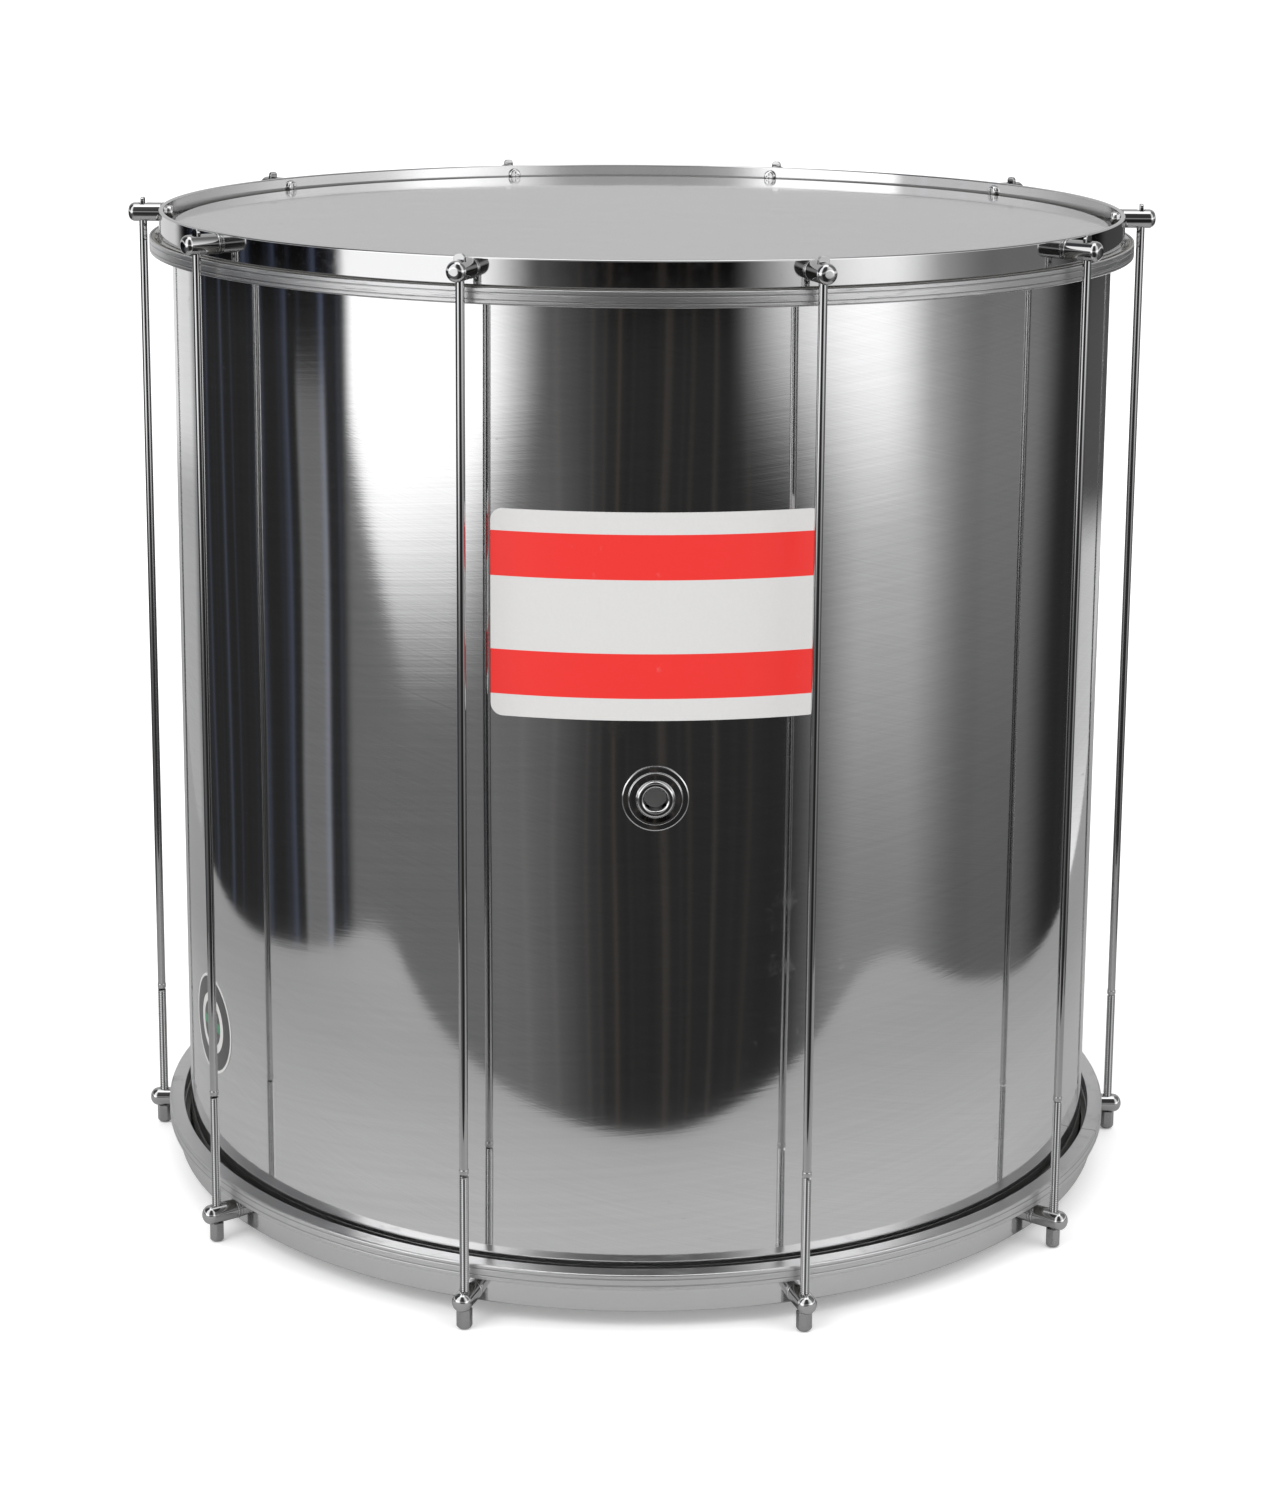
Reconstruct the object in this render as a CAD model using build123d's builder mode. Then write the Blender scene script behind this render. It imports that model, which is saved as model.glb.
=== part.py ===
"""Double-headed bass drum: aluminium shell, two hooped heads, two band rims, ten full-length tension rods.

Millimetres, +Z up. The origin is the bottom centre: the drum stands on its ten tension nuts.
Rod 01 is to the right of the front, and the numbers rise anticlockwise seen from above.
"""
from build123d import *
import os
from math import cos, radians, sin, sqrt

os.makedirs("parts", exist_ok=True)

# Shell
shell_diameter = 508.0
shell_length = 508.0
shell_wall = 1.2
edge_turn = 6.0  # width of the inward turned edge
edge_round = 3.0  # outside radius of the turned edge

# Heads
film_thickness = 0.3
film_lift = 0.3  # running gap between the batter film and the shell edge
collar_gap = 0.5  # between the film collar and the shell side
collar_drop = 3.6  # straight part of the collar, below the shell edge
film_edge_inset = 2.4  # how far the film stops short of the outside of its hoop
hoop_gap = 3.8  # between the shell and the hoop
hoop_width = 8.2
hoop_height = 7.9
hoop_wall = 1.2
hoop_round = 0.5
resin_drop = 0.5  # how far the resin stays under the film

# Rims
rim_gap = 4.3  # between the shell and the inside of the rim
rim_wall = 2.5
rim_height = 13.6
rim_foot_drop = 6.3  # from the shell edge back to the rim's foot on the head
rim_round = 0.7

# Pegs, washers and screws
peg_count = 10
peg_diameter = 10.2
peg_rise = 8.1  # from the rim's foot to the peg axis
peg_beyond_rod = 7.7
top_peg_round = 3.4
bottom_peg_round = 4.6
peg_flat = 0.6  # depth of the nut's seat
peg_flat_length = 9.0
washer_diameter = 10.4
washer_thickness = 1.3
washer_round = 0.4
screw_head_diameter = 7.5
screw_head_height = 2.3
screw_head_round = 1.3
screw_diameter = 4.2
screw_reach = 4.6  # thread inside the peg
recess_length = 4.0
recess_width = 0.9
recess_depth = 1.2
drill_clearance = 0.15  # round a screw in a plain hole
thread_clearance = 0.05  # round a screw in its tapped hole
bore_end_gap = 0.6

# Rods and nuts
rod_from_rim = 11.7  # rod axis out from the rim's outer face
rod_diameter = 4.3
thread_diameter = 4.8
thread_length = 83.0
rod_clearance = 0.1  # round the thread in a peg
tab_width = 5.6
tab_thickness = 1.9
tab_height = 3.0  # above the peg
tab_seat = 1.5  # into the peg
tab_clearance = 0.15
tab_corner = 2.0  # at the two top corners of the flattened end
tab_round = 0.4
nut_flats = 7.0
nut_height = 10.0
nut_clearance = 0.08  # round the thread
nut_seat_gap = 0.1
nut_top_chamfer = 0.5
nut_end_chamfer = 1.1
nut_end_land = 0.55  # flat ring left at the standing end
tip_recess = 0.4  # rod tip above the nut's standing end

# Vent
vent_angle = 1.9  # degrees round from the front
vent_height = 1.0  # above the middle of the shell
vent_bore = 11.0
vent_barrel = 14.0
vent_steps = ((32.4, 1.0), (26.0, 2.0), (18.2, 3.1))  # diameter, height off the shell
vent_round = 0.45
vent_barrel_reach = 2.4  # past the shell's inner face
vent_clearance = 0.1
lock_ring_diameter = 22.0
lock_ring_thickness = 1.5

# Labels
label_thickness = 0.2
adhesive_thickness = 0.05  # under both labels
front_label_width = 161.0  # along the shell
front_label_height = 101.6
front_label_corner = 6.0
front_label_angle = 1.9
front_label_rise = 90.3  # label centre above the middle of the shell
side_label_diameter = 54.0
side_label_angle = -63.5
side_label_rise = -168.0

# Levels and radii that follow
shell_radius = shell_diameter / 2
shell_inner_radius = shell_radius - shell_wall
rim_inner_radius = shell_radius + rim_gap
rim_outer_radius = rim_inner_radius + rim_wall
hoop_inner_radius = shell_radius + hoop_gap
hoop_outer_radius = hoop_inner_radius + hoop_width
rod_radius = rim_outer_radius + rod_from_rim
peg_radius = peg_diameter / 2
peg_start = rim_outer_radius + washer_thickness
peg_end = rod_radius + peg_beyond_rod
peg_hole_radius = thread_diameter / 2 + rod_clearance

bottom_peg_level = nut_height + nut_seat_gap + peg_radius - peg_flat
bottom_edge = bottom_peg_level + peg_rise - rim_foot_drop
top_edge = bottom_edge + shell_length
middle = (bottom_edge + top_edge) / 2
top_peg_level = top_edge - rim_foot_drop + peg_rise
peg_angles = [360 / peg_count * (i + 0.5) - 90 for i in range(peg_count)]


def outward(angle, level):
    """Plane through the drum's axis whose normal points outward at angle, with Z upward in it."""
    a = radians(angle)
    return Plane(origin=(0, 0, level), x_dir=(-sin(a), cos(a), 0), z_dir=(cos(a), sin(a), 0))


def on_circle(radius, angle):
    return (radius * cos(radians(angle)), radius * sin(radians(angle)))


def save(part, label):
    part.label = label
    export_step(part, f"parts/{label}.step")


# Shell: one wall with both edges turned inward, and the hole for the vent
with BuildPart() as shell:
    with BuildSketch(Plane.XZ) as shell_section:
        with Locations((shell_radius, middle)):
            Rectangle(edge_turn, shell_length, align=(Align.MAX, Align.CENTER))
        fillet(shell_section.vertices().group_by(Axis.X)[-1], edge_round)
        with BuildSketch(Plane.XY, mode=Mode.SUBTRACT) as shell_inside:
            with Locations((shell_inner_radius, middle)):
                Rectangle(
                    edge_turn,
                    shell_length - 2 * shell_wall,
                    align=(Align.MAX, Align.CENTER),
                )
            fillet(shell_inside.vertices().group_by(Axis.X)[-1], edge_round - shell_wall)
    revolve(axis=Axis.Z)
    with BuildSketch(outward(vent_angle - 90, middle + vent_height)):
        Circle(vent_barrel / 2 + vent_clearance)
    extrude(amount=shell_radius * 2, mode=Mode.SUBTRACT)
save(shell.part, "shell")

# Vent: stepped eyelet fitted to the shell's curve, and the ring that clamps it inside
vent_plane = outward(vent_angle - 90, middle + vent_height)
with BuildPart() as vent_grommet:
    for step_diameter, step_height in vent_steps:
        with BuildSketch(vent_plane.offset(shell_inner_radius)):
            Circle(step_diameter / 2)
        extrude(amount=shell_wall + step_height)
        step_face = vent_grommet.faces().sort_by(Axis(vent_plane.origin, vent_plane.z_dir))[-1]
        fillet(step_face.edges(), vent_round)
    with BuildSketch(Plane.XY):
        Circle(shell_radius)
    extrude(amount=top_edge, mode=Mode.SUBTRACT)
    with BuildSketch(vent_plane.offset(shell_inner_radius - vent_barrel_reach)):
        Circle(vent_barrel / 2)
    extrude(amount=shell_wall + vent_barrel_reach + vent_round)
    with BuildSketch(vent_plane):
        Circle(vent_bore / 2)
    extrude(amount=shell_diameter, mode=Mode.SUBTRACT)
save(vent_grommet.part, "vent_grommet")

with BuildPart() as vent_lock_ring:
    with BuildSketch(vent_plane.offset(shell_inner_radius - lock_ring_thickness)):
        Circle(lock_ring_diameter / 2)
        Circle(vent_barrel / 2, mode=Mode.SUBTRACT)
    extrude(amount=lock_ring_thickness)
    with BuildSketch(Plane.XY):
        Circle(shell_inner_radius)
    extrude(amount=top_edge, mode=Mode.INTERSECT)
save(vent_lock_ring.part, "vent_lock_ring")


def head_plane(edge, side):
    """Section plane of a head: X outward, Y away from the shell, zero at the shell's edge."""
    return Plane(origin=(0, 0, edge), x_dir=(1, 0, 0), z_dir=(0, -side, 0))


def make_film(edge, side, gap):
    foot = -rim_foot_drop - film_thickness
    collar = shell_radius + collar_gap
    lip = collar + (collar_drop + foot) * -1
    with BuildPart() as film:
        with BuildSketch(head_plane(edge, side)):
            with BuildLine():
                FilletPolyline(
                    (0, gap),
                    (collar, gap),
                    (collar, -collar_drop),
                    (lip, foot),
                    (hoop_outer_radius - film_edge_inset, foot),
                    radius=[edge_round + collar_gap, 1.5, 1.5],
                )
                offset(amount=film_thickness, side=Side.LEFT)
            make_face()
        revolve(axis=Axis.Z)
    return film.part


def make_hoop(edge, side):
    """Channel section, open toward the rim."""
    top = -rim_foot_drop - film_thickness
    with BuildPart() as hoop:
        with BuildSketch(head_plane(edge, side)) as channel:
            with Locations((hoop_inner_radius, top)):
                Rectangle(hoop_width, hoop_height, align=(Align.MIN, Align.MAX))
            fillet(channel.vertices(), hoop_round)
            with Locations((hoop_inner_radius + hoop_wall, top)):
                Rectangle(
                    hoop_width - 2 * hoop_wall,
                    hoop_height - hoop_wall,
                    align=(Align.MIN, Align.MAX),
                    mode=Mode.SUBTRACT,
                )
        revolve(axis=Axis.Z)
    return hoop.part


def make_resin(edge, side):
    top = -rim_foot_drop - film_thickness
    with BuildPart() as resin:
        with BuildSketch(head_plane(edge, side)):
            with Locations((hoop_inner_radius + hoop_wall, top - resin_drop)):
                Rectangle(
                    hoop_width - 2 * hoop_wall,
                    hoop_height - hoop_wall - resin_drop,
                    align=(Align.MIN, Align.MAX),
                )
        revolve(axis=Axis.Z)
    return resin.part


def make_rim(edge, side):
    level = edge + side * (peg_rise - rim_foot_drop)
    with BuildPart() as rim:
        with BuildSketch(head_plane(edge, side)) as band:
            with Locations((rim_inner_radius, -rim_foot_drop)):
                Rectangle(rim_wall, rim_height, align=(Align.MIN, Align.MIN))
            fillet(band.vertices(), rim_round)
        revolve(axis=Axis.Z)
        for angle in peg_angles:
            with BuildSketch(outward(angle, level)):
                Circle(screw_diameter / 2 + drill_clearance)
            extrude(amount=rim_outer_radius + rim_wall, mode=Mode.SUBTRACT)
    return rim.part


def make_peg(angle, level, side):
    plane = outward(angle, level)
    with BuildPart() as peg:
        with BuildSketch(plane.offset(peg_start)):
            Circle(peg_radius)
        extrude(amount=peg_end - peg_start)
        outer_end = peg.faces().sort_by(Axis(plane.origin, plane.z_dir))[-1]
        fillet(outer_end.edges(), top_peg_round if side > 0 else bottom_peg_round)
        with BuildSketch(plane.offset(peg_start)):
            Circle(screw_diameter / 2 + thread_clearance)
        extrude(amount=screw_reach + bore_end_gap, mode=Mode.SUBTRACT)
        with BuildSketch(Plane.XY.offset(level - peg_diameter)):
            with Locations(on_circle(rod_radius, angle)):
                Circle(peg_hole_radius)
        extrude(amount=2 * peg_diameter, mode=Mode.SUBTRACT)
        if side > 0:
            with BuildSketch(Plane.XY.offset(level + peg_radius - tab_seat)):
                with Locations(on_circle(rod_radius, angle)):
                    Rectangle(
                        tab_thickness + 2 * tab_clearance,
                        tab_width + 2 * tab_clearance,
                        rotation=angle,
                    )
            extrude(amount=peg_diameter, mode=Mode.SUBTRACT)
        else:
            with BuildSketch(Plane.XY.offset(level - peg_radius + peg_flat)):
                with Locations(on_circle(rod_radius, angle)):
                    Rectangle(peg_flat_length, peg_diameter, rotation=angle)
            extrude(amount=-peg_diameter, mode=Mode.SUBTRACT)
    return peg.part


def make_washers(level):
    with BuildPart() as washers:
        for angle in peg_angles:
            with BuildSketch(outward(angle, level).offset(rim_outer_radius)):
                Circle(washer_diameter / 2)
                Circle(screw_diameter / 2 + drill_clearance, mode=Mode.SUBTRACT)
            extrude(amount=washer_thickness)
        rounds = washers.edges().filter_by(
            lambda edge: edge.geom_type == GeomType.CIRCLE and edge.radius > screw_diameter
        )
        fillet(rounds, washer_round)
    return washers.part


def make_screws(level):
    """Pan heads inside the rim: the shank passes the rim and the washer into the peg."""
    seat = sqrt(rim_inner_radius**2 - (screw_head_diameter / 2) ** 2)
    with BuildPart() as screws:
        for angle in peg_angles:
            plane = outward(angle, level)
            with BuildSketch(plane.offset(seat - screw_head_height)):
                Circle(screw_head_diameter / 2)
            extrude(amount=screw_head_height)
        near = screws.edges().filter_by(
            lambda edge: abs(edge.radius - screw_head_diameter / 2) < 0.01
            and Vector(edge.arc_center.X, edge.arc_center.Y).length < seat - screw_head_height / 2
            if edge.geom_type == GeomType.CIRCLE
            else False
        )
        fillet(near, screw_head_round)
        for angle in peg_angles:
            plane = outward(angle, level)
            with BuildSketch(plane.offset(seat - screw_head_height)):
                Rectangle(recess_length, recess_width)
                Rectangle(recess_width, recess_length)
            extrude(amount=recess_depth, mode=Mode.SUBTRACT)
            with BuildSketch(plane.offset(seat)):
                Circle(screw_diameter / 2)
            extrude(amount=peg_start + screw_reach - seat)
    return screws.part


heads = (("batter", top_edge, 1, film_lift), ("resonant", bottom_edge, -1, 0.0))
for head_name, edge_level, side, gap in heads:
    save(make_film(edge_level, side, gap), f"{head_name}_film")
    save(make_hoop(edge_level, side), f"{head_name}_hoop")
    save(make_resin(edge_level, side), f"{head_name}_resin")

for end_name, edge_level, side in (("top", top_edge, 1), ("bottom", bottom_edge, -1)):
    peg_level = top_peg_level if side > 0 else bottom_peg_level
    save(make_rim(edge_level, side), f"{end_name}_rim")
    save(make_washers(peg_level), f"{end_name}_peg_washers")
    save(make_screws(peg_level), f"{end_name}_peg_screws")
    for number, angle in enumerate(peg_angles, 1):
        save(make_peg(angle, peg_level, side), f"{end_name}_peg_{number:02d}")


def make_rod(angle):
    """Plain rod, flattened into a tab on the top peg, threaded at its lower end."""
    shoulder = top_peg_level + peg_radius - tab_seat
    facing = outward(angle, shoulder)
    with BuildPart() as rod:
        with BuildSketch(Plane.XY.offset(tip_recess)):
            with Locations(on_circle(rod_radius, angle)):
                Circle(thread_diameter / 2)
        extrude(amount=thread_length)
        tip = rod.faces().sort_by(Axis.Z)[0]
        chamfer(tip.edges(), (thread_diameter - rod_diameter) / 2)
        with BuildSketch(Plane.XY.offset(tip_recess + thread_length)):
            with Locations(on_circle(rod_radius, angle)):
                Circle(rod_diameter / 2)
        extrude(amount=shoulder - tip_recess - thread_length)
        with BuildSketch(Plane.XY.offset(shoulder)):
            with Locations(on_circle(rod_radius, angle)):
                Rectangle(tab_thickness, tab_width, rotation=angle)
        extrude(amount=tab_seat + tab_height)
        crown = rod.faces().sort_by(Axis.Z)[-1]
        fillet(crown.edges().filter_by(Axis((0, 0, 0), facing.z_dir)), tab_corner)
        crown = rod.faces().sort_by(Axis.Z)[-1]
        fillet(crown.edges().filter_by(Axis((0, 0, 0), facing.x_dir)), tab_round)
    return rod.part


def make_nut(angle):
    """Long hexagon nut: seated on the peg's flat, rounded off at its standing end."""
    x, y = on_circle(rod_radius, angle)
    a = radians(angle)
    section = Plane(origin=(x, y, 0), x_dir=(cos(a), sin(a), 0), z_dir=(sin(a), -cos(a), 0))
    corner_radius = nut_flats / sqrt(3)
    bore_radius = thread_diameter / 2 + nut_clearance
    with BuildPart() as nut:
        with BuildSketch(Plane.XY):
            with Locations((x, y)):
                RegularPolygon(nut_flats / 2, 6, major_radius=False, rotation=angle)
                Circle(bore_radius, mode=Mode.SUBTRACT)
        extrude(amount=nut_height)
        with BuildSketch(section):
            with BuildLine():
                Polyline(
                    (0, 0),
                    (bore_radius + nut_end_land, 0),
                    (corner_radius, nut_end_chamfer),
                    (corner_radius, nut_height - nut_top_chamfer),
                    (corner_radius - nut_top_chamfer * sqrt(3), nut_height),
                    (0, nut_height),
                    close=True,
                )
            make_face()
        revolve(axis=Axis((x, y, 0), (0, 0, 1)), mode=Mode.INTERSECT)
    return nut.part


for number, angle in enumerate(peg_angles, 1):
    save(make_rod(angle), f"tension_rod_{number:02d}")
    save(make_nut(angle), f"tension_nut_{number:02d}")

# Labels: sheet bent round the shell
label_plane = outward(front_label_angle - 90, middle + front_label_rise)
label_radius = shell_radius + adhesive_thickness
label_chord = 2 * label_radius * sin(front_label_width / (2 * label_radius))
with BuildPart() as front_label:
    with BuildSketch(label_plane):
        RectangleRounded(label_chord, front_label_height, front_label_corner)
    extrude(amount=shell_diameter)
    with BuildSketch(Plane.XY):
        Circle(label_radius + label_thickness)
        Circle(label_radius, mode=Mode.SUBTRACT)
    extrude(amount=top_edge, mode=Mode.INTERSECT)
save(front_label.part, "front_label")

with BuildPart() as side_label:
    with BuildSketch(outward(side_label_angle - 90, middle + side_label_rise)):
        Circle(side_label_diameter / 2)
    extrude(amount=shell_diameter)
    with BuildSketch(Plane.XY):
        Circle(label_radius + label_thickness)
        Circle(label_radius, mode=Mode.SUBTRACT)
    extrude(amount=top_edge, mode=Mode.INTERSECT)
save(side_label.part, "side_label")
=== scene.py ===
from math import cos, pi, radians, sin, sqrt, tan

import bmesh
import bpy
from mathutils import Matrix, Vector


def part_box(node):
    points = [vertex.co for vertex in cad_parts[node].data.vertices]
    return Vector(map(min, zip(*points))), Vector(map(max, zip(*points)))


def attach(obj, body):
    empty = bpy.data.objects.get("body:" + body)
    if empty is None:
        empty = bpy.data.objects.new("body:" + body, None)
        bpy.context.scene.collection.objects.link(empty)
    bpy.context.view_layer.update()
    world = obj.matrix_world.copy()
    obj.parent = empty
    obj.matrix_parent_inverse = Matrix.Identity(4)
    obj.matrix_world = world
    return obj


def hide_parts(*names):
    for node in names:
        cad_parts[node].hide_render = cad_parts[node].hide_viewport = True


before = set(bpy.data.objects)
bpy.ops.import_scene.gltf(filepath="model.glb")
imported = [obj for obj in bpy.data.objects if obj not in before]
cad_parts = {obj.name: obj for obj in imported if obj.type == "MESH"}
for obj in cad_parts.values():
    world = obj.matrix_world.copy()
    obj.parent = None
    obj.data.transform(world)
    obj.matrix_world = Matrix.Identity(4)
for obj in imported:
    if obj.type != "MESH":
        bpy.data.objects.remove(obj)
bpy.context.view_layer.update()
print("frame loaded")

shellLow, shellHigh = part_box("shell")
shellRadius = shellHigh.x
bottomEdge = shellLow.z
topEdge = shellHigh.z
middle = (bottomEdge + topEdge) / 2
mm = 0.001

# Camera: a long lens a little above the drum, looking slightly down
view = {
    "distance": 1.672,
    "height": 0.4254,
    "down": 0.1938,
    "roll": 0.007,
    "lens": 74.04,
    "sensor": 36,
    "shift": -0.1644,
}
cameraData = bpy.data.cameras.new("camera")
cameraData.lens = view["lens"]
cameraData.sensor_width = view["sensor"]
cameraData.shift_y = view["shift"]
camera = bpy.data.objects.new("camera", cameraData)
bpy.context.scene.collection.objects.link(camera)
camera.matrix_world = (
    Matrix.Translation((0, -view["distance"], middle + view["height"]))
    @ Matrix.Rotation(pi / 2 - view["down"], 4, "X")
    @ Matrix.Rotation(view["roll"], 4, "Z")
)
bpy.context.scene.camera = camera


# Shader values as Python expressions
class Shade:
    def __init__(self, tree, socket=None):
        self.tree = tree
        self.socket = socket

    def make(self, kind, out=0, settings=None, **values):
        node = self.tree.nodes.new(kind)
        for name, value in (settings or {}).items():
            setattr(node, name, value)
        for name, value in values.items():
            # i6 is the seventh socket; any other word is a socket's own name
            numbered = name[0] == "i" and name[1:].isdigit()
            key = int(name[1:]) if numbered else name.replace("_", " ")
            self.plug(node.inputs[key], value)
        return Shade(self.tree, node.outputs[out])

    def plug(self, target, value):
        if isinstance(value, Shade):
            self.tree.links.new(value.socket, target)
        else:
            target.default_value = value

    def maths(self, operation, *values):
        inputs = {f"i{n}": value for n, value in enumerate(values)}
        return self.make("ShaderNodeMath", settings={"operation": operation}, **inputs)

    def __add__(self, other):
        return self.maths("ADD", self, other)

    def __radd__(self, other):
        return self.maths("ADD", other, self)

    def __sub__(self, other):
        return self.maths("SUBTRACT", self, other)

    def __rsub__(self, other):
        return self.maths("SUBTRACT", other, self)

    def __mul__(self, other):
        return self.maths("MULTIPLY", self, other)

    def __truediv__(self, other):
        return self.maths("DIVIDE", self, other)

    def ramp(self, low, high):
        # 0 below low, 1 above high, smooth between; low may be the larger
        return self.make(
            "ShaderNodeMapRange",
            settings={"interpolation_type": "SMOOTHSTEP"},
            Value=self,
            From_Min=low,
            From_Max=high,
        )

    def mix(self, factor, first, second):
        settings = {"data_type": "RGBA"}
        return self.make("ShaderNodeMix", 2, settings, i0=factor, i6=first, i7=second)

    def noise(self, place, stretch, detail=2.0, rough=0.5):
        moved = self.make("ShaderNodeMapping", Vector=place, Scale=stretch)
        return self.make(
            "ShaderNodeTexNoise", Vector=moved, Scale=1.0, Detail=detail, Roughness=rough
        )


def grey(level, tint=(1, 1, 1)):
    return (level * tint[0], level * tint[1], level * tint[2], 1)


def newMaterial(name):
    # The material, its maker, its Principled shader and Object coordinates
    material = bpy.data.materials.new(name)
    material.use_nodes = True
    tree = material.node_tree
    tree.nodes.clear()
    maker = Shade(tree)
    shader = tree.nodes.new("ShaderNodeBsdfPrincipled")
    output = tree.nodes.new("ShaderNodeOutputMaterial")
    tree.links.new(shader.outputs[0], output.inputs[0])
    place = maker.make("ShaderNodeTexCoord", out="Object")
    return material, maker, shader, place


def finishShader(maker, shader, **values):
    for name, value in values.items():
        maker.plug(shader.inputs[name.replace("_", " ")], value)


def split(maker, place):
    return [maker.make("ShaderNodeSeparateXYZ", out=n, Vector=place) for n in range(3)]


def bump(maker, height, distance, strength=1.0, under=None):
    values = {"Height": height, "Distance": distance, "Strength": strength}
    if under is not None:
        values["Normal"] = under
    return maker.make("ShaderNodeBump", **values)


# Polished sheet: fine buffing lines run round it a little askew, in two directions
shellFinish = {
    "colour": 0.80,
    "roughness": 0.045,
    "lineRoughness": 0.035,
    "lineBump": 0.0000025,
    "coarseBump": 0.000010,
    "waveBump": 0.0038,
    "sheetBump": 0.0060,
    "lean": 0.26,
}


def aluminiumShell():
    s = shellFinish
    material, maker, shader, place = newMaterial("shellAluminium")
    x, y, z = split(maker, place)
    around = maker.maths("ARCTAN2", x, 0 - y) * shellRadius
    buffed = maker.make(
        "ShaderNodeCombineXYZ", X=around - z * s["lean"], Y=z + around * s["lean"]
    )
    crossed = maker.make(
        "ShaderNodeCombineXYZ", X=around + z * s["lean"], Y=z - around * s["lean"] * 0.4
    )
    lines = maker.noise(buffed, (14, 1300, 1), 3, 0.6)
    coarseLines = maker.noise(crossed, (6, 300, 1), 4, 0.7)
    clouds = maker.noise(place, (9, 9, 5), 3, 0.5)
    wave = maker.noise(place, (7, 7, 3), 1, 0.4)
    sheetWave = maker.noise(place, (3.2, 3.2, 1.3), 0, 0.4)
    scuffs = maker.noise(place, (60, 60, 260), 3, 0.7).ramp(0.66, 0.78)
    scuffs = scuffs * maker.noise(place, (14, 14, 14), 1, 0.5).ramp(0.60, 0.70)
    smudges = maker.noise(place, (26, 26, 26), 5, 0.72).ramp(0.60, 0.72)
    smudges = smudges * maker.noise(place, (6, 6, 6), 1, 0.5).ramp(0.52, 0.66)
    wear = lines * 0.5 + coarseLines * 0.5
    colour = maker.mix(wear, grey(s["colour"] * 0.82), grey(s["colour"] * 1.16))
    colour = maker.mix(scuffs * 0.5, colour, grey(0.62))
    normal = bump(maker, sheetWave, s["sheetBump"])
    normal = bump(maker, wave, s["waveBump"], under=normal)
    normal = bump(maker, coarseLines, s["coarseBump"], under=normal)
    normal = bump(maker, lines, s["lineBump"], under=normal)
    roughness = s["roughness"] + wear * s["lineRoughness"] + clouds * 0.015
    roughness = roughness + scuffs * 0.20 + smudges * 0.12
    finishShader(
        maker,
        shader,
        Base_Color=colour,
        Metallic=1.0,
        Roughness=roughness,
        Normal=normal,
        Anisotropic=0.5,
        Anisotropic_Rotation=0.25,
    )
    return material


# Satin channel with scratches along it and two lines rolled in its wall, darkened with painted
# shade
hoopFinish = {
    "colour": 0.74,
    "roughness": 0.27,
    "rolledAt": 1.7 * mm,
    "rolledDepth": 0.12 * mm,
    "scratchDepth": 0.014 * mm,
}


def aluminiumHoop(name, level, seamAngle=None):
    s = hoopFinish
    material, maker, shader, place = newMaterial(name)
    x, y, z = split(maker, place)
    lines = maker.noise(place, (9, 9, 1900), 4, 0.7)
    rubs = maker.noise(place, (55, 55, 420), 4, 0.7).ramp(0.52, 0.75)
    patches = maker.noise(place, (18, 18, 40), 3, 0.6)
    colour = maker.mix(lines, grey(s["colour"] * 0.88), grey(s["colour"] * 1.04))
    colour = maker.mix(rubs * 0.45, colour, grey(0.55))
    roughness = s["roughness"] + rubs * 0.22 + patches * 0.12
    if seamAngle is not None:
        angle = maker.maths("ARCTAN2", x, 0 - y)
        seam = maker.maths("ABSOLUTE", angle - radians(seamAngle)).ramp(0.0012, 0.0006)
        colour = maker.mix(seam * 0.85, colour, grey(0.05))
        roughness = roughness + seam * 0.3
    rolled = maker.maths("ABSOLUTE", maker.maths("ABSOLUTE", z - level) - s["rolledAt"])
    rolled = rolled.ramp(0.5 * mm, 0.2 * mm)
    # Painted shade: the colour darkens in the rolled grooves
    colour = maker.mix(rolled * 0.45, colour, grey(0.25))
    normal = bump(maker, lines + rubs * 2, s["scratchDepth"])
    normal = bump(maker, 1 - rolled, s["rolledDepth"], under=normal)
    finishShader(
        maker, shader, Base_Color=colour, Metallic=1.0, Roughness=roughness, Normal=normal
    )
    return material


def plated(name, colour, roughness, speckle, ripple):
    # Bright plate: faint ripple, dust and rubbed spots
    material, maker, shader, place = newMaterial(name)
    dust = maker.noise(place, (900, 900, 900), 3, 0.7).ramp(0.60, 0.85)
    rubbed = maker.noise(place, (160, 160, 160), 4, 0.6).ramp(0.45, 0.8)
    waves = maker.noise(place, (60, 60, 60), 2, 0.5)
    shade = maker.mix(dust * speckle, grey(colour), grey(colour * 0.72))
    finishShader(
        maker,
        shader,
        Base_Color=shade,
        Metallic=1.0,
        Roughness=roughness + rubbed * 0.05 + dust * speckle * 0.3,
        Normal=bump(maker, waves, ripple),
    )
    return material


# Milky plastic, played in the middle, with painted shade where it turns over the shell's edge
filmFinish = {
    "pale": 0.29,
    "dull": 0.26,
    "tint": (1, 0.995, 0.985),
    # Colour of the painted shade at the collar, and its tint
    "collar": 0.15,
    "collarShadeTint": (1, 0.98, 0.93),
    "playedOut": 170 * mm,
    "playedIn": 20 * mm,
    "roughness": 0.06,
}


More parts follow.
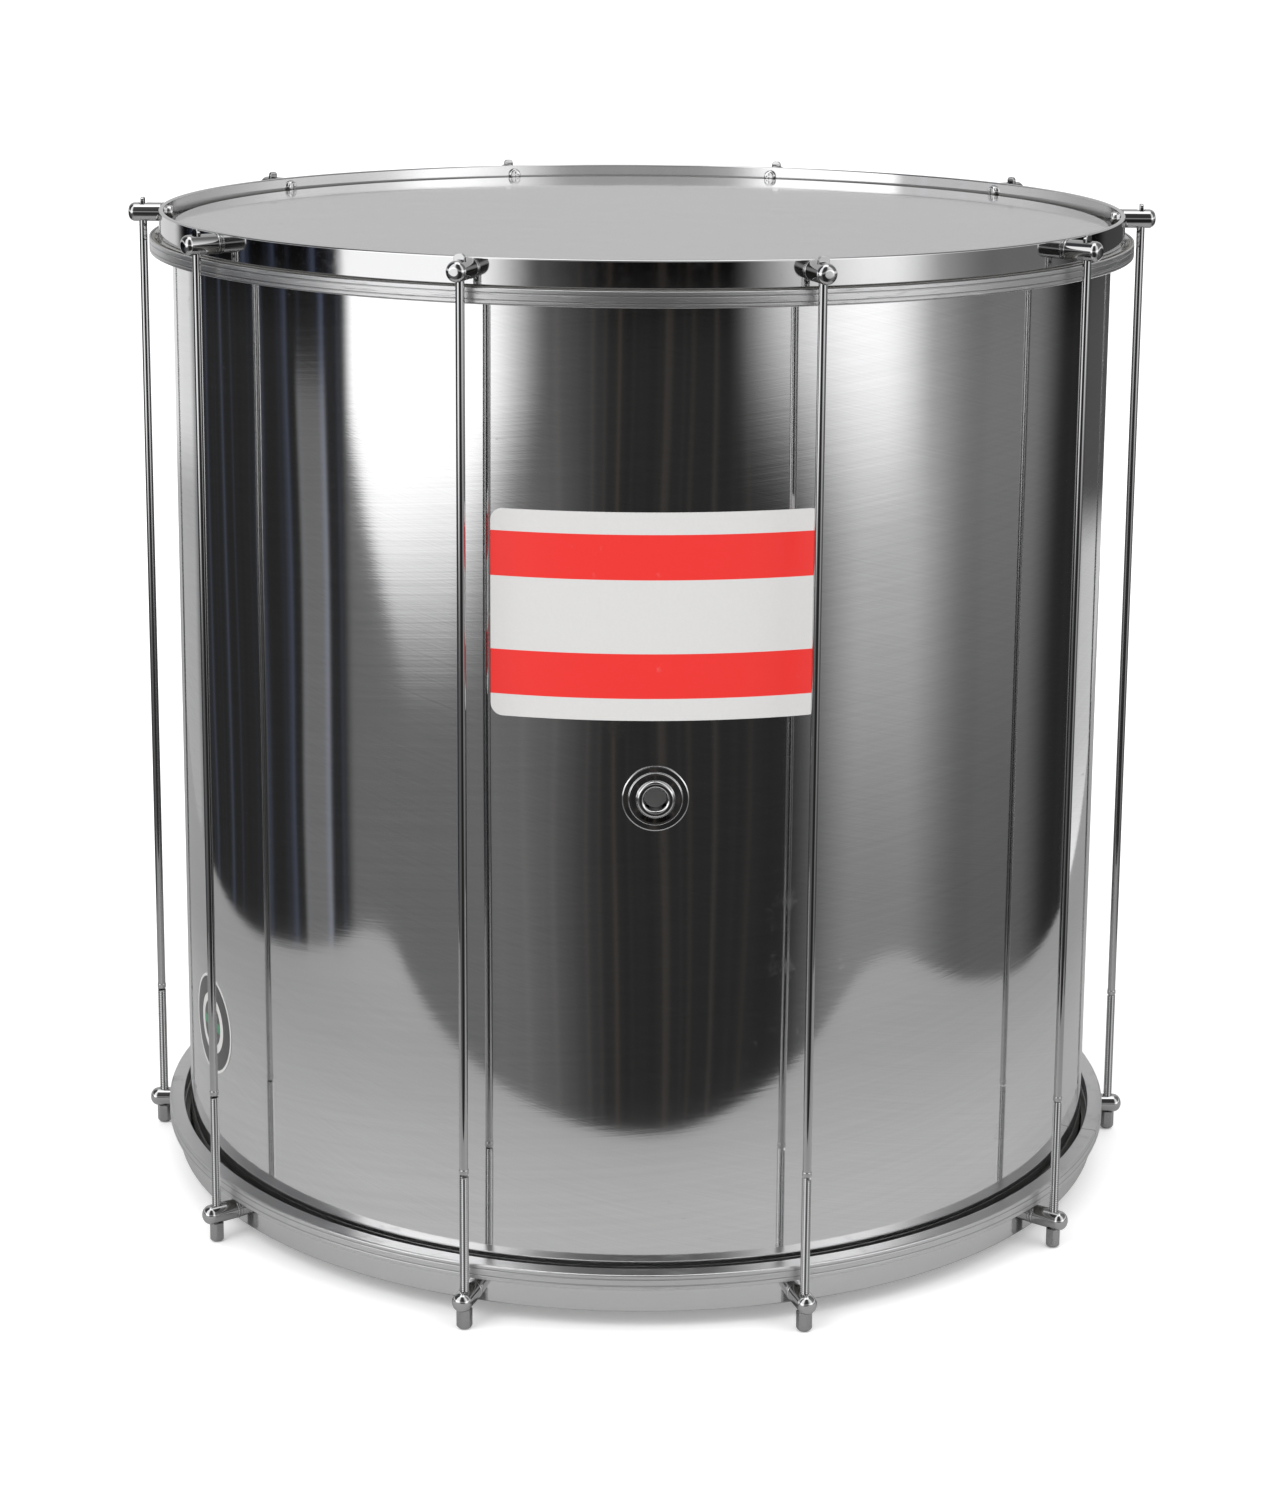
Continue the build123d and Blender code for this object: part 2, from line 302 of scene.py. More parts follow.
def milkyFilm():
    s = filmFinish
    material, maker, shader, place = newMaterial("milkyFilm")
    clouds = maker.noise(place, (7, 7, 7), 4, 0.6)
    fibres = maker.noise(place, (260, 260, 260), 4, 0.6)
    marks = maker.noise(place, (38, 38, 38), 4, 0.75).ramp(0.62, 0.80)
    x, y, z = split(maker, place)
    reach = maker.maths("SQRT", x * x + y * y)
    played = reach.ramp(s["playedOut"], s["playedIn"])
    colour = maker.mix(clouds, grey(s["dull"], s["tint"]), grey(s["pale"], s["tint"]))
    colour = maker.mix(marks * played * 0.16, colour, grey(0.20))
    # Painted shade: the film darkens where it turns over the shell's edge into the gap under the
    # hoop
    collar = reach.ramp(shellRadius - 1.5 * mm, shellRadius + 0.3 * mm)
    colour = maker.mix(collar, colour, grey(s["collar"], s["collarShadeTint"]))
    normal = bump(maker, clouds, 0.0004)
    normal = bump(maker, fibres, 0.000006, under=normal)
    finishShader(
        maker,
        shader,
        Base_Color=colour,
        Metallic=0.0,
        Roughness=s["roughness"] + fibres * 0.04 + marks * 0.12,
        Normal=normal,
        Subsurface_Weight=0.15,
        Subsurface_Radius=(0.004, 0.004, 0.004),
        Coat_Weight=0.25,
        Coat_Roughness=0.03,
    )
    return material


def resinFill():
    material, maker, shader, place = newMaterial("resinFill")
    grain = maker.noise(place, (500, 500, 500), 4, 0.6)
    colour = maker.mix(grain, grey(0.20, (1, 0.95, 0.85)), grey(0.30, (1, 0.96, 0.88)))
    finishShader(
        maker,
        shader,
        Base_Color=colour,
        Roughness=0.55 + grain * 0.2,
        Normal=bump(maker, grain, 0.1 * mm),
    )
    return material


# Printed vinyl
labelPrint = {
    "dull": grey(0.47, (1, 0.99, 0.975)),
    "pale": grey(0.51, (1, 0.99, 0.98)),
    "red": (0.62, 0.014, 0.010, 1),
    "ring": grey(0.03),
    "disc": grey(0.035),
    "green": (0.02, 0.16, 0.07, 1),
    "halfStripe": 2.5 * mm,
    "edge": 0.1 * mm,
}


def labelSheet(name, height, bars, ring=None):
    # bars are (low, high) heights from the label's middle; ring is its centre, radius, width
    # and the radius of the disc inside it
    s = labelPrint
    edge = s["edge"]
    material, maker, shader, place = newMaterial(name)
    z = split(maker, place)[2]
    rise = z - height
    grain = maker.noise(place, (700, 700, 700), 3, 0.6)
    wear = maker.noise(place, (120, 120, 120), 4, 0.7).ramp(0.64, 0.8)
    colour = maker.mix(grain, s["dull"], s["pale"])
    for low, high in bars:
        band = rise.ramp(low - edge, low + edge) * rise.ramp(high + edge, high - edge)
        colour = maker.mix(band, colour, s["red"])
    if ring is not None:
        centre, radius, width, disc = ring
        settings = {"operation": "DISTANCE"}
        across = maker.make("ShaderNodeVectorMath", "Value", settings, i0=place, i1=centre)
        band = maker.maths("ABSOLUTE", across - radius)
        band = band.ramp(width / 2 + edge, width / 2 - edge)
        middleDisc = across.ramp(disc + edge, disc - edge)
        stripe = maker.maths("ABSOLUTE", rise)
        stripe = stripe.ramp(s["halfStripe"] + edge, s["halfStripe"] - edge)
        colour = maker.mix(band, colour, s["ring"])
        colour = maker.mix(middleDisc, colour, s["disc"])
        colour = maker.mix(middleDisc * stripe, colour, s["green"])
    colour = maker.mix(wear * 0.10, colour, grey(0.5))
    finishShader(
        maker,
        shader,
        Base_Color=colour,
        Roughness=0.28 + grain * 0.08 + wear * 0.1,
        Normal=bump(maker, grain, 0.02 * mm),
        Coat_Weight=0.3,
        Coat_Roughness=0.12,
    )
    return material


# Shared ways of making pieces
def addPiece(name, bm, material, body, stands=(), sharp=32):
    mesh = bpy.data.meshes.new(name)
    bm.to_mesh(mesh)
    bm.free()
    for face in mesh.polygons:
        face.use_smooth = True
    mesh.set_sharp_from_angle(angle=radians(sharp))
    mesh.materials.append(material)
    piece = bpy.data.objects.new(name, mesh)
    bpy.context.scene.collection.objects.link(piece)
    # Broad faces keep their own normals and the roundings take up the bend
    even = piece.modifiers.new("evenNormals", "WEIGHTED_NORMAL")
    even.keep_sharp = True
    even.weight = 100
    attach(piece, body)
    if stands:
        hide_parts(*stands)
    return piece


def arcCorners(corners, steps=6):
    # A section from (r, z, round) corners, each round drawn as an arc
    count = len(corners)
    points = []
    for n, (r, z, turn) in enumerate(corners):
        here = Vector((r, z))
        if turn == 0:
            points.append(here)
            continue
        before = (Vector(corners[n - 1][:2]) - here).normalized()
        after = (Vector(corners[(n + 1) % count][:2]) - here).normalized()
        half = before.angle(after) / 2
        reach = turn / tan(half)
        middleWay = (before + after).normalized()
        centre = here + middleWay * (turn / sin(half))
        start = here + before * reach - centre
        end = here + after * reach - centre
        swing = start.angle(end)
        for k in range(steps + 1):
            part = k / steps
            way = start * sin((1 - part) * swing) + end * sin(part * swing)
            points.append(centre + way.normalized() * turn)
    return points


def turned(points, steps, closed=True, centre=(0, 0, 0), axis=(0, 0, 1), across=(1, 0, 0)):
    # A section of (r, z) points spun once round an axis; a closed one joins its last to its first
    bm = bmesh.new()
    out = Vector(across)
    up = Vector(axis)
    base = Vector(centre)
    ring = [bm.verts.new(base + out * r + up * z) for r, z in points]
    pairs = list(zip(ring, ring[1:] + ring[:1])) if closed else list(zip(ring, ring[1:]))
    edges = [bm.edges.new(pair) for pair in pairs]
    bmesh.ops.spin(
        bm,
        geom=ring + edges,
        cent=base,
        axis=up,
        angle=2 * pi,
        steps=steps,
        use_merge=True,
    )
    bmesh.ops.remove_doubles(bm, verts=bm.verts, dist=1e-6)
    bmesh.ops.recalc_face_normals(bm, faces=bm.faces)
    return bm


def meshOf(bm):
    mesh = bpy.data.meshes.new("working")
    bm.to_mesh(mesh)
    bm.free()
    return mesh


def cutWith(bm, cutters, operation="DIFFERENCE"):
    # Exact boolean of one closed shape with others, as a new bmesh
    main = bpy.data.objects.new("working", meshOf(bm))
    bpy.context.scene.collection.objects.link(main)
    helpers = []
    for cutter in cutters:
        helper = bpy.data.objects.new("cutter", meshOf(cutter))
        bpy.context.scene.collection.objects.link(helper)
        change = main.modifiers.new("cut", "BOOLEAN")
        change.operation = operation
        change.solver = "EXACT"
        change.object = helper
        helpers.append(helper)
    bpy.context.view_layer.update()
    depsgraph = bpy.context.evaluated_depsgraph_get()
    result = bmesh.new()
    result.from_mesh(main.evaluated_get(depsgraph).to_mesh())
    for helper in helpers + [main]:
        mesh = helper.data
        bpy.data.objects.remove(helper)
        bpy.data.meshes.remove(mesh)
    return result


def block(size, centre):
    bm = bmesh.new()
    bmesh.ops.create_cube(bm, size=1.0)
    bmesh.ops.scale(bm, verts=bm.verts, vec=size)
    bmesh.ops.translate(bm, verts=bm.verts, vec=centre)
    return bm


def rod(radius, low, high, steps=48):
    bm = bmesh.new()
    bmesh.ops.create_cone(
        bm, cap_ends=True, segments=steps, radius1=radius, radius2=radius, depth=high - low
    )
    bmesh.ops.translate(bm, verts=bm.verts, vec=(0, 0, (low + high) / 2))
    return bm


def placed(source, angle, lift=0.0):
    # A copy of a master, made on +X, turned to its place round the drum
    bm = source.copy()
    bmesh.ops.rotate(bm, verts=bm.verts, cent=(0, 0, 0), matrix=Matrix.Rotation(angle, 3, "Z"))
    bmesh.ops.translate(bm, verts=bm.verts, vec=(0, 0, lift))
    return bm


def joined(parts):
    bm = bmesh.new()
    for part in parts:
        mesh = meshOf(part)
        bm.from_mesh(mesh)
        bpy.data.meshes.remove(mesh)
    return bm


# Rods, pegs and nuts stand evenly round the drum, none of them straight in front
rodCount = 10
rodAngles = [2 * pi / rodCount * (n + 0.5) - pi / 2 for n in range(rodCount)]

# Name, colour, roughness, share of dust and depth of ripple
chrome = plated("mirrorChrome", 0.62, 0.03, 0.35, 0.02 * mm)
topRimPlate = plated("topRimPlate", 0.66, 0.065, 0.5, 0.02 * mm)
# Painted light: the bottom rim's plate is paler than the top rim's, lifting the shaded floor that
# it reflects
bottomRimBrightenedPlate = plated("bottomRimBrightenedPlate", 0.74, 0.09, 0.5, 0.02 * mm)
pegPlate = plated("pegPlate", 0.56, 0.03, 0.35, 0.02 * mm)
rodPlate = plated("rodPlate", 0.56, 0.05, 0.35, 0.01 * mm)
screwPlate = plated("screwPlate", 0.68, 0.16, 0.4, 0.01 * mm)
nutPlate = plated("nutPlate", 0.46, 0.24, 0.5, 0.01 * mm)
filmMaterial = milkyFilm()
resinMaterial = resinFill()
shellMaterial = aluminiumShell()
print("materials made")

# Shell: one wall with both edges turned inward, open where the eyelet passes
shellShape = {
    "wall": 1.2 * mm,
    "turn": 6 * mm,
    "round": 3 * mm,
    "steps": 720,
    "bands": 5,
    "bandHeight": 2 * mm,
}
ventShape = {
    "angle": radians(1.9),
    "rise": 1 * mm,
    "hole": 7.2 * mm,
    "steps": ((16.2, 1.0), (13.0, 2.0), (9.1, 3.1)),
    "bore": 5.5 * mm,
    "barrel": 7.0 * mm,
    "reach": 2.4 * mm,
    "ringRadius": 11 * mm,
    "ringFace": 1.5 * mm,
}


def makeShell():
    s = shellShape
    inner = shellRadius - s["wall"]
    lip = shellRadius - s["turn"]
    ventHeight = middle + ventShape["rise"]
    # Narrow bands above and below the vent, so that small faces bound its hole
    bands = range(-s["bands"], s["bands"] + 1)
    levels = [ventHeight + k * s["bandHeight"] for k in bands]
    innerRound = s["round"] - s["wall"]
    corners = [(lip, bottomEdge, 0), (shellRadius, bottomEdge, s["round"])]
    corners += [(shellRadius, level, 0) for level in levels]
    corners += [(shellRadius, topEdge, s["round"]), (lip, topEdge, 0)]
    corners += [(lip, topEdge - s["wall"], 0), (inner, topEdge - s["wall"], innerRound)]
    corners += [(inner, level, 0) for level in reversed(levels)]
    corners += [(inner, bottomEdge + s["wall"], innerRound), (lip, bottomEdge + s["wall"], 0)]
    bm = turned(arcCorners(corners), s["steps"])
    out = Vector((sin(ventShape["angle"]), -cos(ventShape["angle"]), 0))
    near = []
    for face in bm.faces:
        centre = face.calc_center_median()
        if centre.dot(out) < 0:
            continue
        away = (centre - out * centre.dot(out)) - Vector((0, 0, ventHeight))
        if away.length < ventShape["hole"]:
            near.append(face)
    bmesh.ops.delete(bm, geom=near, context="FACES")
    rims = [edge for edge in bm.edges if edge.is_boundary]
    bmesh.ops.bridge_loops(bm, edges=rims)
    bmesh.ops.recalc_face_normals(bm, faces=bm.faces)
    return addPiece("shellSkin", bm, shellMaterial, "drum_body", ["shell"])


makeShell()
print("shell made")


# Eyelet and its clamping ring
def makeVent():
    s = ventShape
    out = Vector((sin(s["angle"]), -cos(s["angle"]), 0))
    centre = Vector((0, 0, middle + s["rise"]))
    inner = shellRadius - shellShape["wall"]
    flange, second, third = [(r * mm, shellRadius + h * mm) for r, h in s["steps"]]
    back = shellRadius - 0.5 * mm
    corners = [
        (s["bore"], inner - s["reach"], 0.2 * mm),
        (s["bore"], third[1], 1.7 * mm),
        (third[0], third[1], 1.7 * mm),
        (third[0] + 0.2 * mm, second[1] - 0.35 * mm, 0.3 * mm),
        (second[0] - 1.2 * mm, second[1], 0.4 * mm),
        (second[0], second[1], 0.5 * mm),
        (second[0] + 0.2 * mm, flange[1] - 0.15 * mm, 0.2 * mm),
        (flange[0] - 0.6 * mm, flange[1], 0.3 * mm),
        (flange[0], flange[1] - 0.25 * mm, 0.25 * mm),
        (flange[0], back, 0),
        (s["barrel"], back, 0),
        (s["barrel"], inner - s["reach"], 0.2 * mm),
    ]
    bm = turned(arcCorners(corners, 5), 128, centre=centre, axis=out, across=(0, 0, 1))
    addPiece("ventEyelet", bm, chrome, "drum_body", ["vent_grommet"])
    corners = [
        (s["barrel"] + 0.05 * mm, inner - s["ringFace"], 0),
        (s["ringRadius"], inner - s["ringFace"], 0.5 * mm),
        (s["ringRadius"], inner - 0.26 * mm, 0),
        (s["barrel"] + 0.05 * mm, inner - 0.1 * mm, 0),
    ]
    bm = turned(arcCorners(corners), 96, centre=centre, axis=out, across=(0, 0, 1))
    addPiece("ventRing", bm, chrome, "drum_body", ["vent_lock_ring"])


makeVent()
print("vent made")

# Heads and rims; sections are drawn with z away from the shell, zero at its edge
headShape = {
    "film": 0.3 * mm,
    "collar": shellRadius + 0.5 * mm,
    "drop": 3.6 * mm,
    "foot": -6.6 * mm,
    "edgeInset": 2.4 * mm,
    "hoopInside": shellRadius + 3.8 * mm,
    "hoopWidth": 8.2 * mm,
    "hoopHeight": 7.9 * mm,
    "hoopWall": 1.2 * mm,
    "discRings": (245 * mm, 235 * mm, 200 * mm, 150 * mm, 100 * mm, 50 * mm),
}
rimShape = {
    "inside": shellRadius + 4.3 * mm,
    "wall": 2.5 * mm,
    "foot": -6.3 * mm,
    "height": 13.6 * mm,
    "round": 0.7 * mm,
    "steps": 360,
}


def facing(points, edge, side):
    return [(r, edge + side * z) for r, z in points]


def makeHead(name, body, edge, side, gap, seam):
    s = headShape
    outer = s["hoopInside"] + s["hoopWidth"]
    lip = s["collar"] - (s["drop"] + s["foot"])
    end = outer - s["edgeInset"]
    t = s["film"]
    under = [
        (s["collar"], gap, 3.5 * mm),
        (s["collar"], -s["drop"], 1.5 * mm),
        (lip, s["foot"], 1.5 * mm),
        (end, s["foot"], 0),
    ]
    over = [
        (end, s["foot"] + t, 0),
        (lip + 0.42 * t, s["foot"] + t, 1.2 * mm),
        (s["collar"] + t, -s["drop"] + 0.42 * t, 1.5 * mm),
        (s["collar"] + t, gap + t, 3.8 * mm),
    ]
    below = [(r, gap, 0) for r in reversed(s["discRings"])]
    above = [(r, gap + t, 0) for r in s["discRings"]]
    corners = [(0.0, gap, 0)] + below + under + over + above + [(0.0, gap + t, 0)]
    points = arcCorners(corners)
    bm = turned(facing(points, edge, side), 288, closed=False)
    addPiece(name + "Film", bm, filmMaterial, body, [name + "_film"], 40)
    wall = s["hoopWall"]
    top = s["foot"]
    low = top - s["hoopHeight"]
    inside = s["hoopInside"]
    corners = [
        (inside, low, 0.5 * mm),
        (outer, low, 0.9 * mm),
        (outer, top, 0.45 * mm),
        (outer - wall, top, 0.45 * mm),
        (outer - wall, low + wall, 0.3 * mm),
        (inside + wall, low + wall, 0.3 * mm),
        (inside + wall, top, 0.45 * mm),
        (inside, top, 0.45 * mm),
    ]
    bm = turned(facing(arcCorners(corners, 4), edge, side), 360)
    material = aluminiumHoop(name + "HoopSatin", edge + side * (top + low) / 2, seam)
    addPiece(name + "Hoop", bm, material, body, [name + "_hoop"], 50)
    corners = [
        (inside + wall, low + wall, 0.2 * mm),
        (outer - wall, low + wall, 0.2 * mm),
        (outer - wall, top - 0.5 * mm, 0),
        (inside + wall, top - 0.5 * mm, 0),
    ]
    bm = turned(facing(arcCorners(corners, 2), edge, side), 288)
    addPiece(name + "Resin", bm, resinMaterial, body, [name + "_resin"])


def makeRim(name, body, edge, side, material):
    s = rimShape
    low = s["foot"]
    high = low + s["height"]
    outside = s["inside"] + s["wall"]
    corners = [
        (s["inside"], low, s["round"]),
        (outside, low, s["round"]),
        (outside, high, s["round"] * 1.3),
        (s["inside"], high, s["round"] * 1.3),
    ]
    bm = turned(facing(arcCorners(corners, 5), edge, side), s["steps"])
    addPiece(name + "Rim", bm, material, body, [name + "_rim"], 50)


makeHead("batter", "top_rim_assembly", topEdge, 1, 0.3 * mm, None)
makeHead("resonant", "drum_body", bottomEdge, -1, 0.0, 72.5)
makeRim("top", "top_rim_assembly", topEdge, 1, topRimPlate)
makeRim("bottom", "drum_body", bottomEdge, -1, bottomRimBrightenedPlate)
print("heads and rims made")

# Pegs, washers and screws, made once on +X and turned to each place
pegShape = {
    "radius": 5.1 * mm,
    "start": shellRadius + 8.1 * mm,
    "end": shellRadius + 26.2 * mm,
    "rod": shellRadius + 18.5 * mm,
    "hole": 2.5 * mm,
    "rise": 1.8 * mm,
    "topDome": 3.4 * mm,
    "bottomDome": 4.6 * mm,
    "slot": (2.2 * mm, 5.9 * mm, 1.5 * mm),
    "flat": 0.6 * mm,
    "flatLength": 9 * mm,
    "flatWidth": 12 * mm,
}
cutterDepth = 10 * mm
screwShape = {
    "head": 3.75 * mm,
    "height": 2.3 * mm,
    "round": 1.3 * mm,
    "shank": 2.1 * mm,
    "recess": (4.0 * mm, 0.9 * mm, 1.2 * mm),
    "reach": 4.6 * mm,
}


def pegMaster(dome, isTop):
    s = pegShape
    corners = [
        (0.0, s["start"], 0),
        (s["radius"] - 0.35 * mm, s["start"], 0),
        (s["radius"], s["start"] + 0.35 * mm, 0.1 * mm),
        (s["radius"], s["end"], dome),
        (0.0, s["end"], 0),
    ]
    points = arcCorners(corners, 14)
    bm = turned(points, 64, closed=False, axis=(1, 0, 0), across=(0, 0, 1))
    hole = rod(s["hole"], -2 * cutterDepth, 2 * cutterDepth)
    bmesh.ops.translate(hole, verts=hole.verts, vec=(s["rod"], 0, 0))
    cutters = [hole]
    if isTop:
        thick, wide, deep = s["slot"]
        level = s["radius"] - deep + cutterDepth / 2
        cutters.append(block((thick, wide, cutterDepth), (s["rod"], 0, level)))
    else:
        size = (s["flatLength"], s["flatWidth"], cutterDepth)
        level = s["flat"] - s["radius"] - cutterDepth / 2
        cutters.append(block(size, (s["rod"], 0, level)))
    return cutWith(bm, cutters)


washerShape = {"bore": 2.25 * mm, "radius": 5.2 * mm, "round": 0.35 * mm}


def washerMaster():
    s = washerShape
    face = rimShape["inside"] + rimShape["wall"] + 0.02 * mm
    corners = [
        (s["bore"], face, 0),
        (s["radius"], face, s["round"]),
        (s["radius"], pegShape["start"], s["round"]),
        (s["bore"], pegShape["start"], 0),
    ]
    return turned(arcCorners(corners, 5), 64, axis=(1, 0, 0), across=(0, 0, 1))


def screwMaster():
    s = screwShape
    seat = sqrt(rimShape["inside"] ** 2 - s["head"] ** 2)
    tip = pegShape["start"] + s["reach"]
    corners = [
        (0.0, seat - s["height"], 0),
        (s["head"] - s["round"] * 0.4, seat - s["height"], s["round"]),
        (s["head"], seat - 0.4 * mm, 0.3 * mm),
        (s["head"], seat, 0),
        (s["shank"], seat, 0),
        (s["shank"], tip, 0.3 * mm),
        (0.0, tip, 0),
    ]
    bm = turned(arcCorners(corners, 6), 48, closed=False, axis=(1, 0, 0), across=(0, 0, 1))
    long, wide, deep = s["recess"]
    past = 1 * mm
    middleDepth = seat - s["height"] + (deep - past) / 2
    cross = [
        block((deep + past, long, wide), (middleDepth, 0, 0)),
        block((deep + past, wide, long), (middleDepth, 0, 0)),
    ]
    return cutWith(bm, cross)


def makePegs(end, body, level, dome, isTop):
    peg = pegMaster(dome, isTop)
    washer = washerMaster()
    screw = screwMaster()
    for number, angle in enumerate(rodAngles, 1):
        bm = placed(peg, angle, level)
        node = f"{end}_peg_{number:02d}"
        addPiece(f"{end}Peg{number:02d}", bm, pegPlate, body, [node], 35)
    bm = joined([placed(washer, angle, level) for angle in rodAngles])
    addPiece(end + "PegWashers", bm, chrome, body, [end + "_peg_washers"], 40)
    bm = joined([placed(screw, angle, level) for angle in rodAngles])
    addPiece(end + "PegScrews", bm, screwPlate, body, [end + "_peg_screws"], 35)
    for master in (peg, washer, screw):
        master.free()


topLevel = topEdge + pegShape["rise"]
bottomLevel = bottomEdge - pegShape["rise"]
makePegs("top", "top_rim_assembly", topLevel, pegShape["topDome"], True)
makePegs("bottom", "drum_body", bottomLevel, pegShape["bottomDome"], False)
print("pegs made")

# Rods with a rolled thread, and their nuts
rodShape = {
    "blank": 2.15 * mm,
    "crest": 2.4 * mm,
    "root": 1.98 * mm,
    "pitch": 25.4 / 24 * mm,
    "crestSpan": (0.42, 0.58),
    "tip": 0.4 * mm,
    "thread": 83 * mm,
    "collar": 3.0 * mm,
    "perTurn": 16,
    "tab": (1.9 * mm, 5.6 * mm, 3.0 * mm),
    "tabCorner": 2.0 * mm,
    "tabRound": 0.35 * mm,
}
nutShape = {
    "flats": 7 * mm,
    "height": 10 * mm,
    "bore": 2.48 * mm,
    "topChamfer": 0.5 * mm,
    "endChamfer": 1.1 * mm,
    "land": 0.55 * mm,
}


def threadSleeve(low, high):
    # One tooth drawn along the rod, spun and raised a pitch at each turn
    s = rodShape
    turns = int((high - low) / s["pitch"])
    bm = bmesh.new()
    tooth = [
        (s["root"], 0.0),
        (s["crest"], s["crestSpan"][0] * s["pitch"]),
        (s["crest"], s["crestSpan"][1] * s["pitch"]),
        (s["root"], s["pitch"]),
    ]
    line = [bm.verts.new((r, 0, low + z)) for r, z in tooth]
    edges = [bm.edges.new(pair) for pair in zip(line, line[1:])]
    bmesh.ops.spin(
        bm,
        geom=line + edges,
        cent=(0, 0, 0),
        axis=(0, 0, 1),
        dvec=(0, 0, s["pitch"] / s["perTurn"]),
        angle=2 * pi * (turns - 1),
        steps=s["perTurn"] * (turns - 1),
    )
    bmesh.ops.remove_doubles(bm, verts=bm.verts, dist=1e-6)
    ends = [edge for edge in bm.edges if edge.is_boundary]
    bmesh.ops.holes_fill(bm, edges=ends, sides=0)
    bmesh.ops.recalc_face_normals(bm, faces=bm.faces)
    return bm


def roundEdges(bm, edges, offset, segments):
    bmesh.ops.bevel(
        bm,
        geom=edges,
        offset=offset,
        offset_type="OFFSET",
        affect="EDGES",
        segments=segments,
        profile=0.5,
        material=-1,
    )


def rodMaster():
    s = rodShape
    near = 0.01 * mm
    threadTop = s["tip"] + s["thread"]
    tabFoot = topLevel + pegShape["radius"] - pegShape["slot"][2]
    tip = turned(
        [
            (0.0, s["tip"]),
            (s["blank"], s["tip"]),
            (s["crest"], s["tip"] + 0.3 * mm),
            (s["root"], s["tip"] + 0.9 * mm),
            (0.0, s["tip"] + 0.9 * mm),
        ],
        24,
        closed=False,
    )
    collarFoot = threadTop - s["collar"]
    shank = [
        (0.0, collarFoot, 0),
        (s["root"], collarFoot, 0),
        (s["crest"], collarFoot + 0.6 * mm, 0.3 * mm),
        (s["crest"], threadTop - 0.5 * mm, 0.3 * mm),
        (s["blank"], threadTop, 0),
        (s["blank"], tabFoot, 0),
        (0.0, tabFoot, 0),
    ]
    shank = turned(arcCorners(shank, 4), 32, closed=False)
    thick, wide, high = s["tab"]
    foot = tabFoot - 0.2 * mm
    top = topLevel + pegShape["radius"] + high
    tab = block((thick, wide, top - foot), (0, 0, (foot + top) / 2))
    level = [edge for edge in tab.edges if min(vert.co.z for vert in edge.verts) > top - near]
    tabCorners = [edge for edge in level if abs(edge.verts[0].co.y - edge.verts[1].co.y) < near]
    roundEdges(tab, tabCorners, s["tabCorner"], 8)
    outlines = [
        edge
        for edge in tab.edges
        if edge.calc_face_angle(0) > 0.8 and max(vert.co.z for vert in edge.verts) > foot + near
    ]
    roundEdges(tab, outlines, s["tabRound"], 2)
    sleeve = threadSleeve(s["tip"] + 0.5 * mm, collarFoot + 0.6 * mm)
    bm = joined([tip, shank, tab, sleeve])
    bmesh.ops.translate(bm, verts=bm.verts, vec=(pegShape["rod"], 0, 0))
    return bm


def nutMaster():
    s = nutShape
    corner = s["flats"] / sqrt(3)
    bm = bmesh.new()
    bmesh.ops.create_cone(
        bm, cap_ends=True, segments=6, radius1=corner, radius2=corner, depth=s["height"]
    )
    bmesh.ops.rotate(bm, verts=bm.verts, cent=(0, 0, 0), matrix=Matrix.Rotation(pi / 6, 3, "Z"))
    bmesh.ops.translate(bm, verts=bm.verts, vec=(0, 0, s["height"] / 2))
    rounds = [
        (0.0, 0.0, 0),
        (s["bore"] + s["land"], 0.0, 0.3 * mm),
        (corner, s["endChamfer"], 0.6 * mm),
        (corner, s["height"] - s["topChamfer"], 0),
        (corner - s["topChamfer"] * sqrt(3), s["height"], 0),
        (0.0, s["height"], 0),
    ]
    envelope = turned(arcCorners(rounds, 5), 72, closed=False)
    bm = cutWith(bm, [envelope], "INTERSECT")
    past = 2 * mm
    bm = cutWith(bm, [rod(s["bore"], -past, s["height"] + past)])
    bmesh.ops.translate(bm, verts=bm.verts, vec=(pegShape["rod"], 0, 0))
    return bm


rodCopy = rodMaster()
nutCopy = nutMaster()
for number, angle in enumerate(rodAngles, 1):
    name, node = f"tensionRod{number:02d}", f"tension_rod_{number:02d}"
    bm = placed(rodCopy, angle)
    addPiece(name, bm, rodPlate, "top_rim_assembly", [node], 50)
    nutBody = f"tension_nut_{number:02d}"
    bm = placed(nutCopy, angle)
    addPiece(f"tensionNut{number:02d}", bm, nutPlate, nutBody, [nutBody], 28)
rodCopy.free()
nutCopy.free()
print("rods and nuts made")

# Labels: thin sheets bent round the shell
frontLabel = {
    "width": 161 * mm,
    "height": 101.6 * mm,
    "corner": 6 * mm,
    "angle": radians(1.9),
    "rise": 90.3 * mm,
    "bars": ((-40 * mm, -18 * mm), (18 * mm, 40 * mm)),
}
sideLabel = {
    "radius": 27 * mm,
    "angle": radians(-63.5),
    "rise": -168 * mm,
    "ringInset": 6 * mm,
    "ringWidth": 9 * mm,
    "disc": 12.5 * mm,
    "steps": 64,
}
sheetThickness = 0.2 * mm
adhesive = 0.05 * mm
stripWidth = 2.2 * mm


